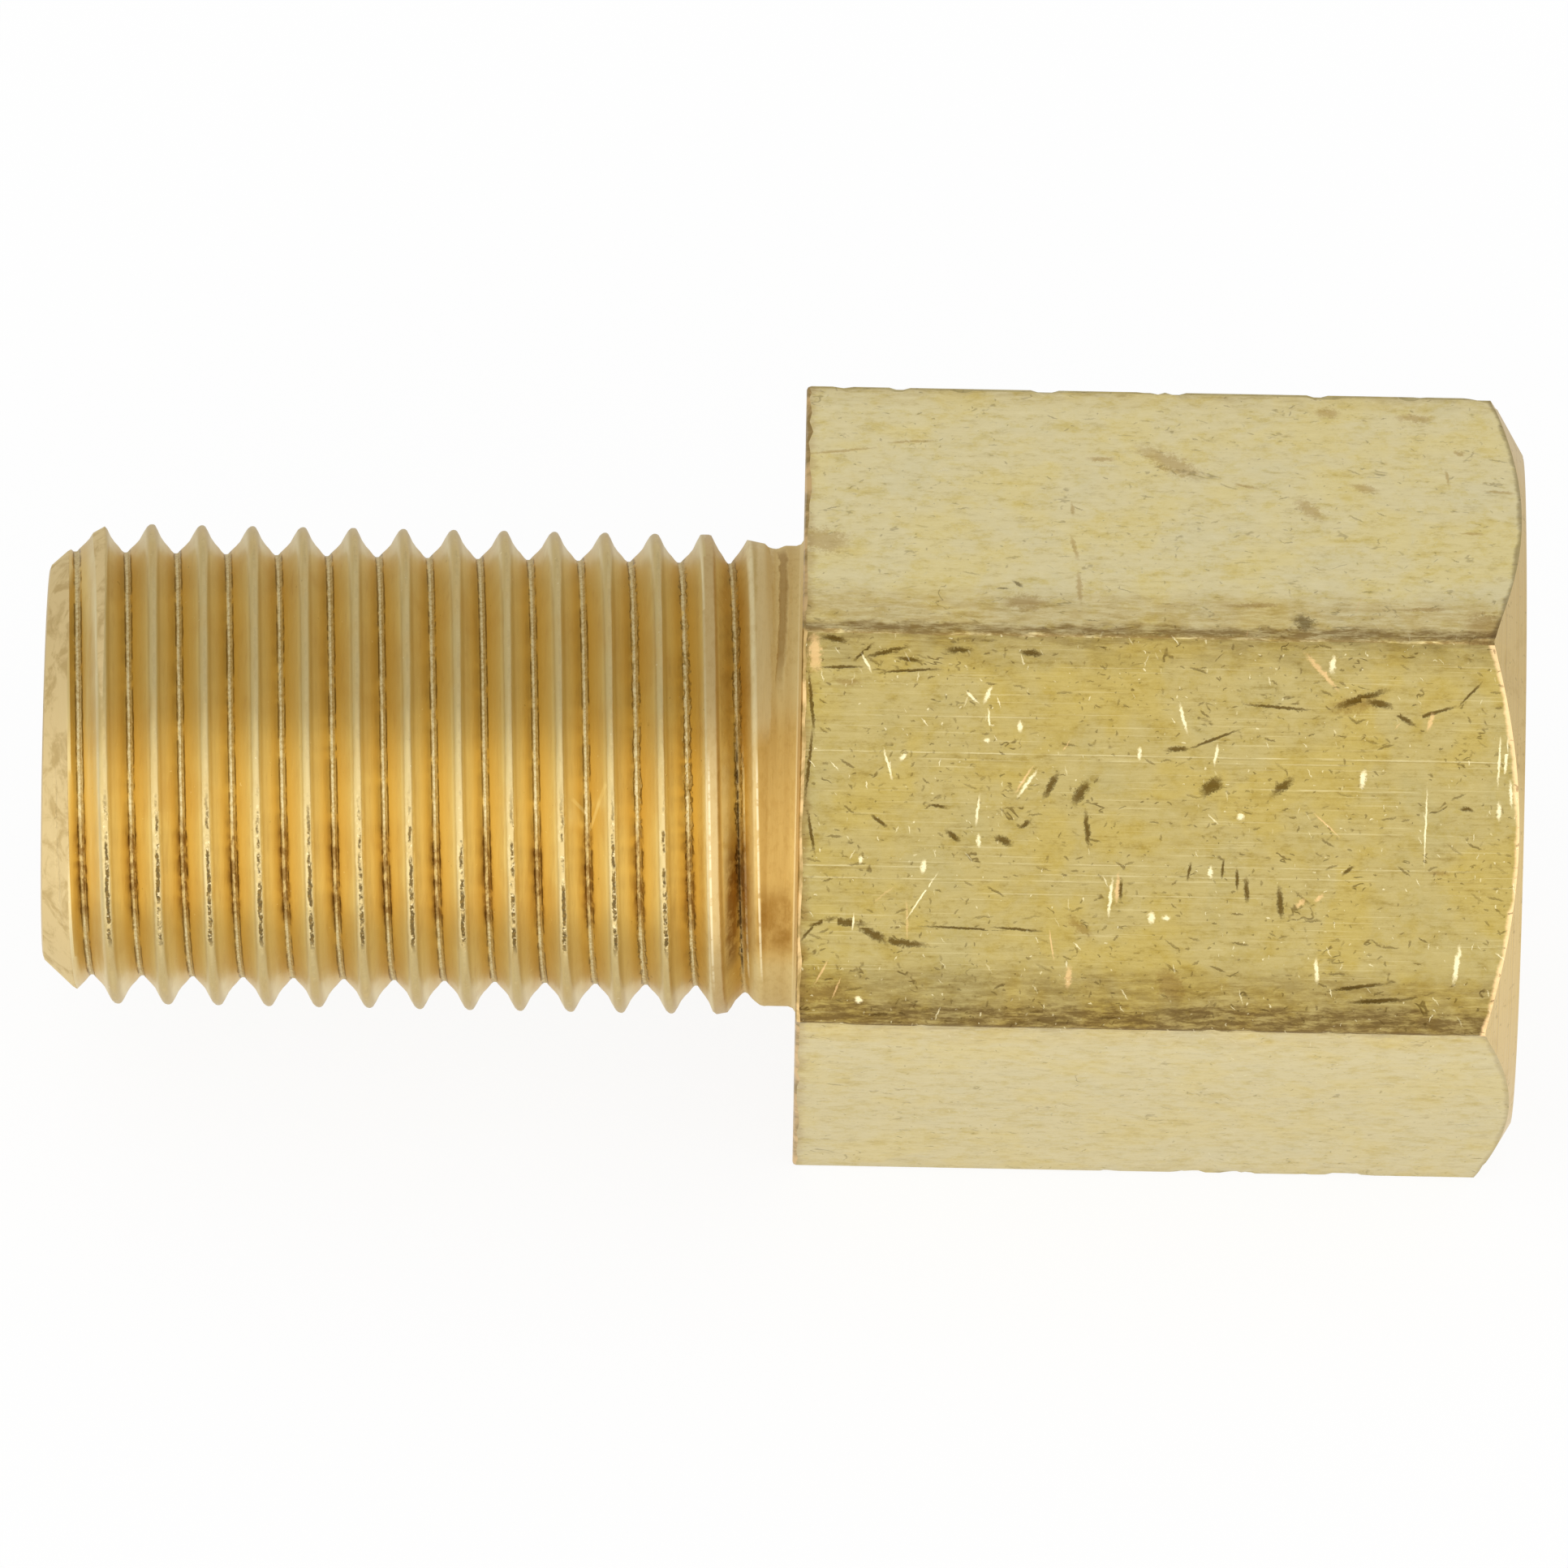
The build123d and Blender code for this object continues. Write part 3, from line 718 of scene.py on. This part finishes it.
def tarnish(colour, surface, wear):
    """Cloudy tarnish, 1 to 4 mm across, golden in places and greenish and paler in others, and the
    mottling of the oxide, 0.1 to 0.4 mm across. The finer clouds and the mottling come with it."""
    clouds = grain(surface, 2.4, 3.0, 0.6, 0.3)
    tint = 0.40 + 0.40 * wear
    colour = blend(ramp(clouds, 0.48, 0.60) * tint, colour, (1.02, 0.975, 0.71))
    colour = blend(ramp(clouds, 0.46, 0.32) * tint, colour, (0.95, 0.98, 1.08))
    fine_clouds = grain(surface, 0.7, 4.0, 0.7, stretch=(0.7, 1.0, 1.0), offset=(7.0, 3.0, 0.0))
    colour = blend(ramp(fine_clouds, 0.50, 0.72), colour, (0.92, 0.88, 0.67))
    patches = grain(surface, 0.45, 4.0, 0.75, stretch=(0.8, 1.0, 1.0), offset=(13.0, 29.0, 0.0))
    colour = blend(ramp(patches, 0.48, 0.68), colour, (0.94, 0.91, 0.73))
    mottle = grain(surface, 0.26, 4.0, 0.8, stretch=(0.42, 1.0, 1.0), offset=(0.0, 17.0, 0.0))
    colour = blend(ramp(mottle, 0.50, 0.72) * (0.62 + 0.38 * wear), colour, (0.78, 0.735, 0.58))
    colour = blend(ramp(mottle, 0.50, 0.28) * (0.45 + 0.40 * wear), colour, (1.09, 1.11, 1.22))
    return colour, fine_clouds, mottle


def die_lines(colour, surface, waved, flat, wear):
    """Lines left by the die, drawn coarser than the real ones so that they show, and the long drag
    lines. The die's lines come with the colour."""
    lines = grain(surface, 0.085, 2.0, 0.7, stretch=(0.05, 1.0, 1.0))
    colour = blend(ramp(lines, 0.50, 0.72) * (0.06 + 0.55 * wear), colour, (0.84, 0.80, 0.70))
    bright = ramp(grain(waved, 0.06, 1.0, stretch=(0.02, 1.0, 1.0), offset=(0.0, 31.0, 0.0)), 0.60, 0.76)
    colour = blend(bright * (0.20 * wear), colour, "#e6d9a6")
    for line_across, start, end, half_width, strength in DRAG_LINES.get(flat, ()):
        along = parts(surface)[0]
        aside = parts(waved)[1] - (flat * FLAT_PITCH + line_across)
        inside = band(along, start, start + 1.0, end - 1.0, end) * ramp(lines, 0.40, 0.58, 0.1, 1.0)
        light_side = ramp(abs(aside), half_width, half_width * 2.2, strength, 0.0)
        dark_side = ramp(abs(aside - half_width * 3.2), half_width, half_width * 3.0, strength * 0.6, 0.0)
        colour = blend(dark_side * inside, colour, "#85723f")
        colour = blend(light_side * inside, colour, "#f0e4b4")
    return colour, lines


def edge_wear_and_painted_reflection(colour, surface, flat):
    """Edges gone dull and brown, with a dark core at the corner and a paler, wider band: partly wear
    and partly a painted dark reflection along the corners. The shoulder is brown where it was parted,
    and a line follows the chamfer's curved edge."""
    _, wear, first_edge, last_edge, (line_colour, line_strength) = FLATS[flat]
    along, round_all, _ = parts(surface)
    across = round_all - flat * FLAT_PITCH
    uneven = grain(surface, 0.8, 4.0, 0.7, stretch=(0.6, 1.0, 1.0), offset=(3.0, 11.0, 0.0)) - 0.5
    streaks = ramp(grain(surface, 0.16, 4.0, 0.75, stretch=(0.22, 1.0, 1.0), offset=(0.0, 23.0, 0.0)),
                   0.34, 0.62, 0.35, 1.15)
    dull = None
    # Bands of wear and of painted dark reflection along both edges
    for inward, (core, strength, width) in ((across, first_edge), (2 * FLAT_REACH - across, last_edge)):
        reach = uneven * -0.9 + inward
        wide = ramp(reach, core + 0.4 * width, core + width, 0.80 * strength, 0.0) * streaks
        tight = ramp(reach, core - 0.10, core + 0.16, strength, 0.0) * streaks
        colour = blend(wide, colour, (0.78, 0.72, 0.58))
        colour = blend(tight, colour, (0.52, 0.44, 0.32))
        dull = joined(dull, wide)
    shoulder = ramp(uneven * -0.9 + along, 0.05, 0.35, 1.0, 0.0)
    colour = blend(shoulder * (0.4 + 0.4 * wear), colour, (0.62, 0.50, 0.36))
    from_middle = across - FLAT_REACH
    outline_radius = maths("SQRT", from_middle * from_middle + HALF_FLATS ** 2)
    chamfer_start = (outline_radius - END_CIRCLE_RADIUS) * -CHAMFER_SLOPE + OPEN_END_X
    to_chamfer = chamfer_start - (uneven * 0.35 + along)
    return blend(ramp(to_chamfer, 0.03, 0.15, line_strength, 0.0), colour, line_colour), dull


def drawn_brass(flat):
    """Cold-drawn bar, rolled about in bins: soft satin with fine lines along it, dark dents and
    scrapes that hold dirt, and bright cuts where the metal is fresh, painted paler still as highlights."""
    tone, wear, *_ = FLATS[flat]
    material, tree = new_material(f"drawn_brass_flat_{flat + 1}")
    surface = Value(add(tree, "ShaderNodeUVMap", uv_map="surface_mm"))
    noisy = Value(add(tree, "ShaderNodeTexNoise", {"Vector": surface, "Scale": 8.0, "Detail": 4.0,
                                                   "Roughness": 0.78}), "Color")
    wobble = Value(add(tree, "ShaderNodeVectorMath", {0: noisy, 1: (0.5, 0.5, 0.5)}, operation="SUBTRACT"))
    ragged = stretched(wobble, (0.14, 0.14, 0.0), surface)
    frayed = stretched(wobble, (0.9, 3.6, 0.0))
    waved = stretched(wobble, (0.0, 0.03, 0.0), surface)

    colour, fine_clouds, mottle = tarnish(linear(tone), surface, wear)
    colour, lines = die_lines(colour, surface, waved, flat, wear)
    colour, dull = edge_wear_and_painted_reflection(colour, surface, flat)

    # Dark marks that hold dirt: single dents, then a scatter of fine nicks and worm-like scrapes
    share = 0.16 + 0.40 * wear
    dark = joined(marks(ragged, 0.62, 0.22, 0.030, 5.0, 70.0, share, 0.0) * 0.65,
                  marks(ragged, 0.28, 0.085, 0.026, 150.0, 180.0, share * 1.2, 41.0) * 0.55)
    worm_path = grain(surface, 1.6, 4.0, 0.65, 0.5, stretch=(0.6, 1.0, 1.0), offset=(0.0, 5.0, 0.0))
    worm_line = ramp(abs(worm_path - 0.5), 0.003, 0.013, 1.0, 0.0)
    worm_place = ramp(grain(surface, 0.9, 3.0, 0.7, offset=(50.0, 0.0, 0.0)), 0.56, 0.64)
    worms = worm_line * worm_place * (0.45 + 0.25 * wear)
    dark = joined(dark, worms, listed_marks(frayed, flat, "dent_place"))
    stains = listed_marks(frayed, flat, "stain_place")
    if stains:
        colour = blend(stains * 0.8, colour, (0.70, 0.60, 0.45))
    colour = blend(dark * (0.55 + 0.30 * wear), colour, "#5c4415")

    # Bright cuts, mostly across the bar, fresh metal with painted highlights, and a few coppery ones
    copper = joined(marks(ragged, 2.6, 0.45, 0.03, 120.0, 70.0, 0.25 * wear, 91.0),
                    listed_marks(frayed, flat, "copper_place"))
    glints = joined(marks(ragged, 0.55, 0.15, 0.018, 80.0, 75.0, 0.10 + 0.28 * wear, 63.0) * 0.75,
                    marks(ragged, 0.36, 0.05, 0.022, 95.0, 170.0, 0.12 + 0.20 * wear, 77.0) * 0.7,
                    listed_marks(frayed, flat, "glint_place"))
    colour = blend(copper * 0.65, colour, "#ecc488")
    colour = blend(glints * (0.45 + 0.40 * wear), colour, "#f6e9ba")

    rough = fine_clouds * 0.16 + 0.34 - glints * 0.16 + dark * 0.12 + dull * 0.25
    height = lines * (0.05 + 0.15 * wear) - dark - glints * 0.35 - mottle * 0.6
    # The thin film of oxide and oil over the satin metal gives it a paler sheen
    dress(tree, colour, rough, height, 0.6, 0.03, coat_weight=dark * -0.33 + 0.35, coat_roughness=0.45)
    return material


def turned_brass():
    """Faces cut on the lathe: pale and clean, with fine rings about the axis."""
    material, tree = new_material("turned_brass")
    place, x, y, z = millimetres(tree)
    cut = (x - maths("SQRT", y * y + z * z)) * 9.0
    rings = Value(add(tree, "ShaderNodeTexNoise", {"W": cut, "Scale": 1.0, "Detail": 2.0},
                      noise_dimensions="1D"))
    smear = grain(place, 1.4, 4.0, 0.65, 0.6, stretch=(2.0, 1.0, 1.0))
    scuffs = grain(place, 0.5, 3.0, 0.6, stretch=(1.0, 3.0, 3.0), offset=(9.0, 0.0, 0.0))
    colour = blend(ramp(smear, 0.52, 0.75) * 0.35, "#e1c68a", "#b19254")
    colour = blend(ramp(rings, 0.45, 0.70) * 0.35, colour, (0.86, 0.80, 0.68))
    colour = blend(ramp(scuffs, 0.60, 0.72) * 0.35, colour, "#8c7440")
    dress(tree, colour, smear * 0.18 + 0.30, rings, 0.6, 0.02)
    return material


def rolled_brass(run_out):
    """Thread rolled to shape: smooth golden flanks, a dull strip with dark creases in each root,
    and a crest that closes in a broken dark seam with bright crumbs, its slit painted shade. At
    the run-out the crests are broad and pale, with thin burnished lines that are partly painted
    highlights, and the shank after them is mottled, with painted light and shade."""
    material, tree = new_material("rolled_brass_run_out" if run_out else "rolled_brass_thread")
    place, x, y, z = millimetres(tree)
    # From 0 to 1 between two roots, with the crest at 0.5
    turn = maths("ARCTAN2", z, y) / (2 * math.pi)
    phase = maths("FRACT", (x - CREST_X) / MALE_PITCH - turn + (0.5 + WHOLE_TURNS))
    from_crest = abs(phase - 0.5)
    level = z * (1 / ROOT_RADIUS)
    front = ramp(y, 0.0, -2.0)
    # The flanks face each other, so light meets them twice and comes out deeper: they are paler
    # here than the open crest and shank
    flank = blend(ramp(from_crest, 0.12, 0.38), "#eedfb1", "#e1c379")
    colour = blend(ramp(from_crest, 0.075, 0.165), "#ceb77c", flank)
    colour = blend(ramp(from_crest, 0.01, 0.06, 0.5, 0.0), colour, "#dac48e")
    colour = blend(ramp(grain(place, 2.4, 3.0, 0.6, 0.5), 0.45, 0.7) * 0.25, colour, "#d2ad64")

    # Fine rubbing along each turn
    worn = grain(place, 0.5, 3.0, 0.65, stretch=(5.0, 0.5, 0.5))
    colour = blend(ramp(worn, 0.5, 0.8) * 0.25, colour, "#c49f5a")

    # Flat strip in the root, between two creases; along a band on the front the strip is less pale
    # and the roots darker. It wanders more towards the run-out.
    threaded = ramp(x, ROOT_RISE[1] - 0.5, ROOT_RISE[0])
    speckle = grain(place, 0.09, 2.0, 0.7)
    front_root_band = ramp(level, 0.46, 0.30) * ramp(level, -0.22, -0.06) * front * threaded
    blots = grain(place, 0.30, 3.0, 0.7, stretch=(2.0, 1.0, 1.0), offset=(8.0, 0.0, 0.0))
    wander = (blots - 0.5) * ramp(x, -5.5, -3.0, 0.04, 0.20) + from_crest
    strip = ramp(wander, 0.448, 0.464) * threaded
    strip_tone = blend(ramp(speckle, 0.30, 0.66), "#c4ab72", "#e3d2a0")
    colour = blend(strip * (front_root_band * -0.65 + 1.0), colour, strip_tone)
    root_darkening = ramp(from_crest, 0.36, 0.45) * front_root_band * ramp(blots, 0.40, 0.60, 0.25, 1.0)
    colour = blend(root_darkening, colour, (0.44, 0.34, 0.24))
    crease_place = ramp(grain(place, 0.7, 4.0, 0.7, offset=(4.0, 0.0, 0.0)), 0.36, 0.56)
    crease = ramp(abs(wander - 0.441), 0.002, 0.026, 1.0, 0.0) * threaded * crease_place
    colour = blend(crease * 0.65, colour, "#5a4218")
    cut = crease * 0.7

    # Pits and bright specks here and there
    pits = ramp(grain(place, 0.23, 3.0, offset=(0.0, 60.0, 0.0)), 0.72, 0.78)
    specks = ramp(grain(place, 0.16, 3.0, offset=(70.0, 0.0, 0.0)), 0.71, 0.77)
    colour = blend(pits * 0.4, colour, "#7a5a22")
    colour = blend(specks * 0.6, colour, "#fdf0c8")
    for start_x, lean, low_z, high_z in SCRATCHES:
        scratch = ramp(abs(x - (z * lean + start_x)), 0.015, 0.045, 1.0, 0.0) * front
        reach = band(z, low_z, low_z + 0.1, high_z - 0.1, high_z)
        colour = blend(scratch * reach * 0.5, colour, "#fbeec4")

    if run_out:
        colour, cut = run_out_marks(colour, cut, place, phase, blots)
        rough = ramp(x, ROOT_RISE[0], ROOT_RISE[1] - 0.2) * 0.22 + 0.32
    else:
        colour, cut = crest_seam(colour, cut, place, phase, speckle)
        cones = maths("MINIMUM", *((x - TIP_X) * slope + radius for radius, slope in TIP_CONES))
        turned = ramp(cones - maths("SQRT", y * y + z * z), 0.01, 0.03, 1.0, 0.0)
        smear = grain(place, 0.9, 4.0, 0.65, 0.6, stretch=(1.6, 1.0, 1.4), offset=(0.0, 2.0, 0.0))
        colour = blend(turned, colour, blend(ramp(smear, 0.46, 0.66) * 0.55, "#e7d29f", "#bda061"))
        rough = turned * 0.36 + 0.28
    # Brass stays yellow where the eye skims along it
    dress(tree, colour, strip * 0.15 + (worn * 0.10 + rough), worn * 0.35 - cut, 0.5, 0.03,
          specular_tint=linear("#f4eee3"))
    return material


def crest_seam(colour, cut, place, phase, speckle):
    """The seam, drawn only in a band over the front: a dark slit of painted shade between bright rims
    of painted highlight, with crumbs along it. Adds it to the colour and to the depth of the cuts."""
    x, y, z = parts(place)
    # From 38 degrees over the front to 10 degrees under it
    level = z * (1 / CREST_RADIUS)
    side = ramp(level, 0.62, 0.36) * ramp(level, -0.24, -0.12) * ramp(y, 0.0, -2.0)
    side = maths("MAXIMUM", side, 0.10) * ramp(x, RUN_OUT_START_X - 0.1, RUN_OUT_START_X - 0.4)
    low = ramp(level, 0.34, 0.10)
    seam_long = grain(place, 0.7, 4.0, 0.75, stretch=(0.9, 1.0, 1.0), offset=(0.0, 21.0, 0.0))
    seam_here = ramp(low * 0.06 + seam_long, 0.45, 0.57) * side
    waver = (grain(place, 0.35, 3.0, 0.7, offset=(0.0, 0.0, 13.0)) - 0.5) * 0.10
    from_seam = abs(waver + phase - 0.5)
    breadth = low * 0.012 + (speckle * 0.06 - 0.018)
    slit = ramp(from_seam - breadth, 0.0, 0.026, 1.0, 0.0) * seam_here
    crumbs = ramp(grain(place, 0.12, 2.0, 0.6), 0.59, 0.67) * ramp(from_seam, 0.03, 0.06, 1.0, 0.0) * side
    rims = band(from_seam, 0.035, 0.055, 0.07, 0.11) * seam_here
    # Painted highlights on the rims, and painted shade in the slit
    colour = blend(rims * 0.30, colour, "#f7e3ae")
    colour = blend(slit * 0.85, colour, blend(ramp(speckle, 0.40, 0.65), "#3a2606", "#6e5014"))
    colour = blend(crumbs * 0.65, colour, "#fbe6b0")
    return colour, cut + slit


# Thin burnished lines of the run-out, the pale ones partly painted highlights, as (phase, strength, start x,
# end x, colour)
BURNISHED_AND_LIT_LINES = (
    (0.97, 0.85, -1.75, -1.2, "#3d2a0c"), (0.36, 0.70, -1.5, -0.7, "#fdf0c6"),
    (0.09, 1.0, -1.6, -0.9, "#fffbe8"), (0.41, 0.55, -2.6, -1.9, "#fdf0c6"),
    (0.59, 0.35, -2.6, -1.9, "#8a6a30"))


def run_out_marks(colour, cut, place, phase, blots):
    """Marks of the run-out, from the broad last crest to the shoulder's fillet. Adds them to the
    colour and to the depth of the cuts."""
    x, y, z = parts(place)
    level = z * (1 / SHANK_RADIUS)
    front = ramp(y, 0.0, -2.0)
    # The broad last crest has the bare metal's tone
    crown = ramp(abs(phase - 0.5), 0.09, 0.17, 1.0, 0.0) * ramp(x, -1.5, -1.7)
    colour = blend(crown, colour, "#ccb078")
    # Golden shank, paler over the top and underneath and deeper gold across the front, which is painted light
    # and shade, with soft mottling
    golden = blend(band(level, -0.34, -0.16, 0.72, 0.90) * front, "#e1c98c", "#d6b36a")
    colour = blend(ramp(x, -1.30, -0.95), colour, golden)
    colour = blend(ramp(blots, 0.46, 0.66) * 0.30, colour, (0.80, 0.70, 0.52))
    # Brown low on the shank, and soil in the last root
    patchy = grain(place, 0.8, 4.0, 0.7, stretch=(1.5, 1.0, 1.0), offset=(0.0, 0.0, 40.0))
    brown = band(level, -0.24, -0.12, 0.04, 0.22) * front * band(x, -1.1, -0.9, -0.2, -0.05)
    colour = blend(brown * ramp(patchy, 0.30, 0.60, 0.35, 1.0), colour, (0.66, 0.55, 0.38))
    root_darkening = band(level, -0.42, -0.22, 0.16, 0.50) * front * band(x, -1.86, -1.66, -1.56, -1.36)
    colour = blend(root_darkening * ramp(patchy, 0.34, 0.54, 0.4, 1.0), colour, (0.40, 0.27, 0.14))
    # Pale strip over the top of the last low crest, and a fold in the metal beside it
    waved = (patchy - 0.5) * 0.20 + x
    pale = ramp(level, 0.70, 0.80) * band(waved, -1.20, -1.10, -0.80, -0.70)
    colour = blend(pale * 0.55, colour, "#ecdcae")
    tapered = ramp(level, 1.0, 0.80) * 0.10 + waved
    fold = ramp(level, 0.84, 0.95) * band(tapered, -0.60, -0.54, -0.44, -0.34)
    colour = blend(fold * 0.75, colour, (0.55, 0.43, 0.28))
    # Burnished lines, drawn only on the lit side towards the front, so the pale ones are partly painted
    # highlights, and the fillet's bright edge
    broken = ramp(grain(place, 0.35, 3.0, 0.7, stretch=(0.6, 1.0, 1.0), offset=(0.0, 6.0, 0.0)),
                  0.36, 0.50, 0.25, 1.0)
    lit_side = band(level, -0.50, -0.30, 0.60, 0.74) * front * broken
    for line_phase, share, start_x, end_x, tone in BURNISHED_AND_LIT_LINES:
        stretch = band(x, start_x, start_x + 0.1, end_x - 0.1, end_x)
        line = ramp(abs(phase - line_phase), 0.010, 0.032, 1.0, 0.0) * (lit_side * stretch)
        colour = blend(line * share, colour, tone)
    colour = blend(band(x, -0.12, -0.08, -0.02, 0.02) * 0.5, colour, "#f2e0ae")
    return colour, cut + fold


def tapped_brass():
    """Drilled and tapped inside: clean cut metal, a little duller than the outer turned faces."""
    material, tree = new_material("tapped_brass_bore")
    chatter = grain(millimetres(tree)[0], 0.6, 3.0, 0.6, stretch=(6.0, 0.7, 0.7))
    colour = blend(ramp(chatter, 0.45, 0.75) * 0.4, "#dcc690", "#b99c5c")
    dress(tree, colour, chatter * 0.2 + 0.24, chatter, 0.4, 0.02)
    return material


def torn_brass():
    """The torn edge of the shoulder: fresh coppery metal between brown notches."""
    material, tree = new_material("torn_brass_edge")
    torn = grain(millimetres(tree)[0], 1.1, 4.0, 0.7, 0.5)
    colour = blend(ramp(torn, 0.36, 0.60), "#a08650", "#dfbd84")
    dress(tree, colour, torn * 0.2 + 0.26, torn, 0.6, 0.05)
    return material


# ---------------------------------------------------------------- stage
VIEW_ELEVATION = math.radians(38.0)
VIEW_ROLL = math.radians(1.06)
VIEW_DISTANCE = 0.70
PICTURE_WIDTH_MM = 38.95        # width of the view at the axis
AIM_MM = (-0.387, -0.194)       # aim from the CAD origin, to the right and up in the picture


def make_camera():
    """Long lens from the front and above, rolled a little."""
    back = Vector((0.0, -math.cos(VIEW_ELEVATION), math.sin(VIEW_ELEVATION)))
    level_right = Vector((1.0, 0.0, 0.0))
    right = level_right * math.cos(VIEW_ROLL) + back.cross(level_right) * math.sin(VIEW_ROLL)
    up = back.cross(right)
    data = bpy.data.cameras.new("camera")
    data.sensor_width = 36.0
    data.lens = data.sensor_width * VIEW_DISTANCE / (PICTURE_WIDTH_MM * MM)
    data.clip_start, data.clip_end = 0.01, 20.0
    camera = bpy.data.objects.new("camera", data)
    aim = (right * AIM_MM[0] + up * AIM_MM[1]) * MM
    axes = Matrix((right, up, back)).transposed().to_4x4()
    camera.matrix_world = Matrix.Translation(aim + back * VIEW_DISTANCE) @ axes
    bpy.context.scene.collection.objects.link(camera)
    bpy.context.scene.camera = camera


# Level of the tent's cloth by its angle over the part, in degrees from straight behind it
TENT_LEVELS = ((0, 0.94), (5, 0.80), (12, 0.64), (28, 0.70), (40, 0.73), (70, 0.70), (113, 0.68), (136, 1.35),
               (160, 1.55), (200, 1.7), (230, 1.0), (360, 0.96))
TENT_TOP = 1.7
FLOOR_HALF_SIZE = 0.6
FLOOR_GAP_MM = 0.01
FLOOR_GLOW = 0.86               # share of the floor that glows where the camera and reflections see it


def make_world():
    """A soft tent: pale walls all round and a dimmer roof. The camera sees it white."""
    world = bpy.data.worlds.new("soft_tent")
    bpy.context.scene.world = world
    world.use_nodes = True
    tree = world.node_tree
    tree.nodes.clear()
    _, y, z = parts(Value(add(tree, "ShaderNodeTexCoord"), "Generated"))
    # Round the part's axis, from straight behind over the roof to the front and under
    swing = maths("FRACT", maths("ARCTAN2", z, y) / (2 * math.pi) + 1.0)
    panels = [(angle / 360, level / TENT_TOP) for angle, level in TENT_LEVELS]
    level = curve(swing, panels, sharp=True) * TENT_TOP
    seen = add(tree, "ShaderNodeLightPath")
    straight = joined(Value(seen, "Is Camera Ray"), Value(seen, "Is Transmission Ray"))
    glow = add(tree, "ShaderNodeBackground", {
        "Color": linear("#ffffff"), "Strength": straight * (1.0 - level) + level})
    add(tree, "ShaderNodeOutputWorld", {"Surface": Value(glow)})


def make_floor():
    """White floor. Most of what the camera and reflections see of it glows, so it stays white,
    and the rest is lit, which keeps a soft shadow."""
    mesh = bpy.data.meshes.new("floor")
    z = (FLOOR_Z - FLOOR_GAP_MM) * MM
    corners = [(x * FLOOR_HALF_SIZE, y * FLOOR_HALF_SIZE, z) for x, y in ((-1, -1), (1, -1), (1, 1), (-1, 1))]
    mesh.from_pydata(corners, [], [(0, 1, 2, 3)])
    floor = bpy.data.objects.new("floor", mesh)
    bpy.context.scene.collection.objects.link(floor)
    material, tree = new_material("white_table")
    seen = add(tree, "ShaderNodeLightPath")
    camera, glossy, through = (Value(seen, f"Is {kind} Ray") for kind in ("Camera", "Glossy", "Transmission"))
    # Metal sees the table glow brighter out in front and dimmer behind the part: a painted reflection, for
    # glossy rays only, of a table lit from the front
    y = millimetres(tree)[2]
    change = ramp(y, 8.0, 14.0) * -0.26 + ramp(y, -9.5, -15.0) * (TENT_TOP - 1.0)
    glow = add(tree, "ShaderNodeEmission", {"Color": linear("#ffffff"), "Strength": change * glossy + 1.04})
    lit = add(tree, "ShaderNodeBsdfDiffuse", {"Color": linear("#eeeeee")})
    mix = add(tree, "ShaderNodeMixShader", {
        0: joined(camera, glossy, through) * FLOOR_GLOW, 1: Value(lit), 2: Value(glow)})
    add(tree, "ShaderNodeOutputMaterial", {"Surface": Value(mix)})
    mesh.materials.append(material)


# ---------------------------------------------------------------- build
bpy.context.scene.view_settings.view_transform = "Standard"
make_camera()
make_world()
make_floor()
brass = [turned_brass(), rolled_brass(False), rolled_brass(True), tapped_brass(), torn_brass()]
brass += [drawn_brass(flat) for flat in range(6)]
adapter = bpy.data.objects.new("thread_adapter", body_mesh(brass))
bpy.context.scene.collection.objects.link(adapter)
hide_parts(NODE)
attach(adapter, "root")

bpy.context.view_layer.update()
